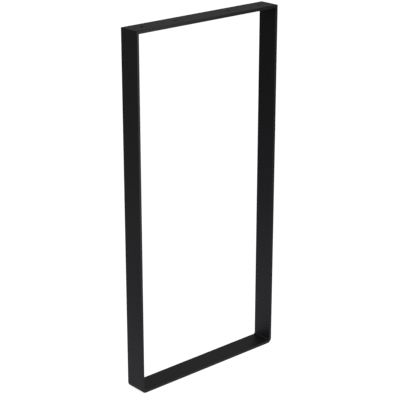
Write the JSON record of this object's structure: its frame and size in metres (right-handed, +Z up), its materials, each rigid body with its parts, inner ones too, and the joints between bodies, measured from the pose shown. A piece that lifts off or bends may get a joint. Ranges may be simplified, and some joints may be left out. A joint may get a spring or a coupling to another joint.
{
  "type": "table leg",
  "caption": "Closed rectangular table leg frame of flat steel strip, folded at the floor corners and welded square at the top, with a row of screw holes for the table top.",
  "frame": {"origin": "centre of the floor run's underside, on the floor", "axes": "+Z up to the table top, +X across the frame from one upright to the other, +Y through the width of the strip"},
  "size_m": [0.35, 0.045, 0.72],
  "materials": {
    "powder_coat": "matt black powder coat with a fine grain"
  },
  "bodies": {
    "root": {"folded_u_strip": "powder_coat", "top_strip": "powder_coat"}
  },
  "joints": []
}
